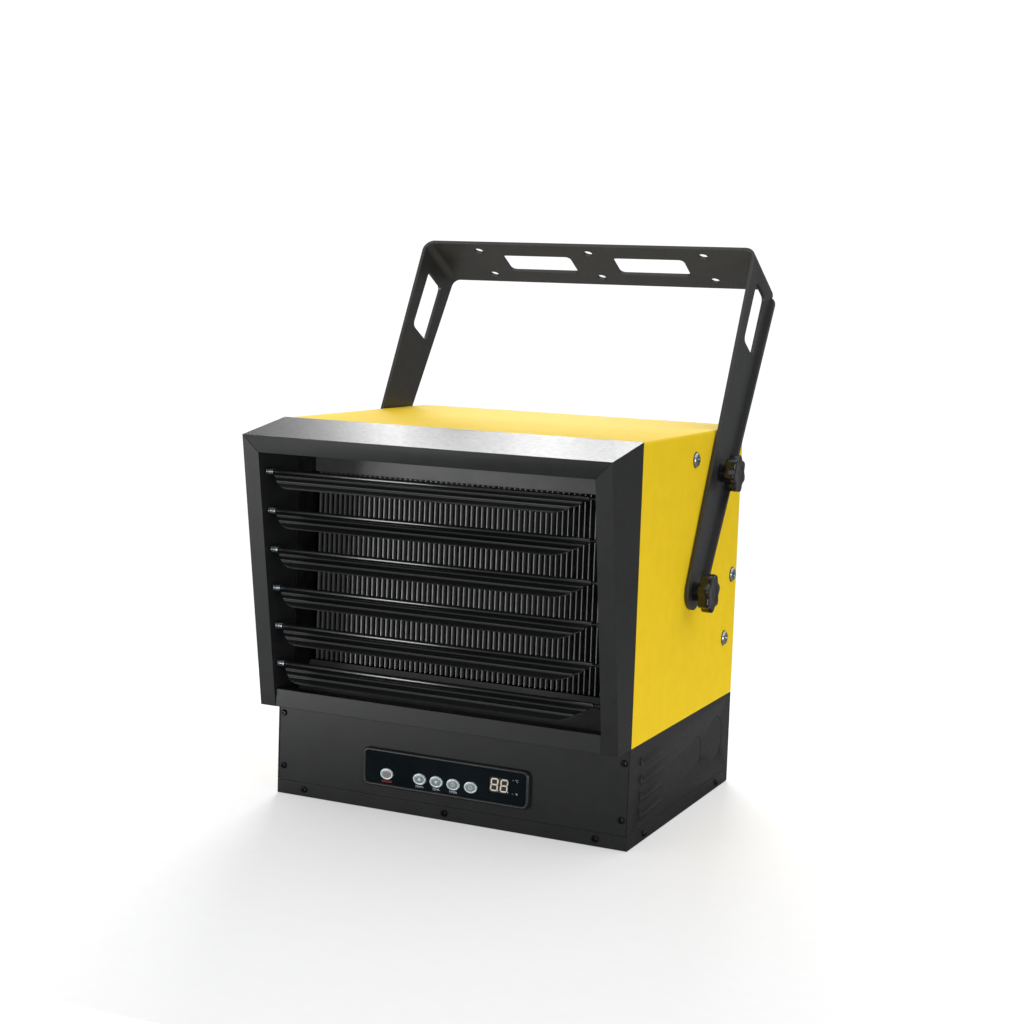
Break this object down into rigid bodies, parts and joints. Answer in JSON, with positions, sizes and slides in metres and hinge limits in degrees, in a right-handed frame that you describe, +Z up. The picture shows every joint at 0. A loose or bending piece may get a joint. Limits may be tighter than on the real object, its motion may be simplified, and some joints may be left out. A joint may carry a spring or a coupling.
{
  "type": "ceiling mounted fan heater",
  "caption": "Electric fan heater in a sheet-steel cabinet, with a louvered hood, a digital control box and a tilting ceiling bracket.",
  "frame": {"origin": "middle of the underside of the terminal box's tray, under the middle of the cabinet", "axes": "+X to the right seen from the front, +Y from the louvers to the rear, +Z up"},
  "size_m": [0.417, 0.4336, 0.5495],
  "materials": {
    "yellow_paint": "yellow powder coat, fine orange peel",
    "black_paint": "black powder coat, satin",
    "grey_steel": "bare galvanised sheet",
    "dark_steel": "dark heat-stained steel",
    "fin_aluminium": "bare rolled aluminium",
    "zinc": "bright zinc plate",
    "black_plastic": "black moulded plastic",
    "gloss_black": "gloss black film",
    "silver_plastic": "silver lacquered plastic",
    "board_green": "solder mask"
  },
  "bodies": {
    "chassis": {"cabinet_wrap": "yellow_paint", "rear_panel": "black_paint", "fan_guard": "black_paint", "front_hood": "black_paint", "lower_sill": "black_paint", "box_wrap": "black_paint", "box_front_panel": "black_paint", "box_tray": "black_paint", "mid_deck": "grey_steel", "top_baffle": "grey_steel", "lower_baffle": "grey_steel", "motor_mount": "grey_steel", "air_duct": "dark_steel", "fan_shroud": "dark_steel", "motor": "dark_steel", "heating_tube_1": "dark_steel", "heating_tube_2": "dark_steel", "heating_tube_3": "dark_steel", "fin_block": "fin_aluminium", "thermal_cutout": "silver_plastic", "terminal_block": "black_plastic", "contactor": "black_plastic", "control_frame": "black_plastic", "control_overlay": "gloss_black", "display_module": "gloss_black", "control_board": "board_green", "pivot_nut_left": "zinc", "side_screw_left_1": "zinc", "side_screw_left_2": "zinc", "side_screw_left_3": "zinc", "pivot_nut_right": "zinc", "side_screw_right_1": "zinc", "side_screw_right_2": "zinc", "side_screw_right_3": "zinc"},
    "bracket": {"mounting_bracket": "black_paint", "lock_nut_left": "zinc", "lock_nut_right": "zinc"},
    "fan": {"fan_blade": "fin_aluminium", "motor_shaft": "zinc"},
    "pivot_knob_left_body": {"pivot_knob_left": "black_plastic"},
    "pivot_knob_right_body": {"pivot_knob_right": "black_plastic"},
    "lock_knob_left_body": {"lock_knob_left": "black_plastic"},
    "lock_knob_right_body": {"lock_knob_right": "black_plastic"},
    "louver_1_body": {"louver_1": "black_paint", "louver_spring_1": "zinc"},
    "louver_2_body": {"louver_2": "black_paint", "louver_spring_2": "zinc"},
    "louver_3_body": {"louver_3": "black_paint", "louver_spring_3": "zinc"},
    "louver_4_body": {"louver_4": "black_paint", "louver_spring_4": "zinc"},
    "louver_5_body": {"louver_5": "black_paint", "louver_spring_5": "zinc"},
    "louver_6_body": {"louver_6": "black_paint", "louver_spring_6": "zinc"},
    "power_button_body": {"power_button": "silver_plastic"},
    "up_button_body": {"up_button": "silver_plastic"},
    "down_button_body": {"down_button": "silver_plastic"},
    "timer_button_body": {"timer_button": "silver_plastic"},
    "mode_button_body": {"mode_button": "silver_plastic"}
  },
  "joints": [
    {"name": "bracket_tilt", "type": "hinge", "parent": "chassis", "child": "bracket", "pos_m": [0, 0, 0.2183], "axis": [1, 0, 0], "range_deg": [-8, 8]},
    {"name": "fan_spin", "type": "hinge", "parent": "chassis", "child": "fan", "pos_m": [0, 0.031, 0.2228], "axis": [0, 1, 0], "continuous": true},
    {"name": "pivot_knob_left_turn", "type": "hinge", "parent": "chassis", "child": "pivot_knob_left_body", "pos_m": [-0.2, 0, 0.2183], "axis": [1, 0, 0], "continuous": true},
    {"name": "lock_knob_left_turn", "type": "hinge", "parent": "bracket", "child": "lock_knob_left_body", "pos_m": [-0.2, 0.06262, 0.32764], "axis": [1, 0, 0], "continuous": true},
    {"name": "pivot_knob_right_turn", "type": "hinge", "parent": "chassis", "child": "pivot_knob_right_body", "pos_m": [0.2, 0, 0.2183], "axis": [1, 0, 0], "continuous": true},
    {"name": "lock_knob_right_turn", "type": "hinge", "parent": "bracket", "child": "lock_knob_right_body", "pos_m": [0.2, 0.06262, 0.32764], "axis": [1, 0, 0], "continuous": true},
    {"name": "louver_1_tilt", "type": "hinge", "parent": "chassis", "child": "louver_1_body", "pos_m": [0, -0.19726, 0.323], "axis": [1, 0, 0], "range_deg": [-30, 45]},
    {"name": "louver_2_tilt", "type": "hinge", "parent": "chassis", "child": "louver_2_body", "pos_m": [0, -0.19192, 0.2857], "axis": [1, 0, 0], "range_deg": [-30, 45]},
    {"name": "louver_3_tilt", "type": "hinge", "parent": "chassis", "child": "louver_3_body", "pos_m": [0, -0.18658, 0.2484], "axis": [1, 0, 0], "range_deg": [-30, 45]},
    {"name": "louver_4_tilt", "type": "hinge", "parent": "chassis", "child": "louver_4_body", "pos_m": [0, -0.18124, 0.2111], "axis": [1, 0, 0], "range_deg": [-30, 45]},
    {"name": "louver_5_tilt", "type": "hinge", "parent": "chassis", "child": "louver_5_body", "pos_m": [0, -0.1759, 0.1738], "axis": [1, 0, 0], "range_deg": [-30, 45]},
    {"name": "louver_6_tilt", "type": "hinge", "parent": "chassis", "child": "louver_6_body", "pos_m": [0, -0.17056, 0.1365], "axis": [1, 0, 0], "range_deg": [-30, 45]},
    {"name": "power_button_press", "type": "slide", "parent": "chassis", "child": "power_button_body", "axis": [0, 1, 0], "range_m": [0, 0.0008], "stiffness_N_per_m": 400, "springref_m": -0.001},
    {"name": "up_button_press", "type": "slide", "parent": "chassis", "child": "up_button_body", "axis": [0, 1, 0], "range_m": [0, 0.0008], "stiffness_N_per_m": 400, "springref_m": -0.001},
    {"name": "down_button_press", "type": "slide", "parent": "chassis", "child": "down_button_body", "axis": [0, 1, 0], "range_m": [0, 0.0008], "stiffness_N_per_m": 400, "springref_m": -0.001},
    {"name": "timer_button_press", "type": "slide", "parent": "chassis", "child": "timer_button_body", "axis": [0, 1, 0], "range_m": [0, 0.0008], "stiffness_N_per_m": 400, "springref_m": -0.001},
    {"name": "mode_button_press", "type": "slide", "parent": "chassis", "child": "mode_button_body", "axis": [0, 1, 0], "range_m": [0, 0.0008], "stiffness_N_per_m": 400, "springref_m": -0.001}
  ]
}
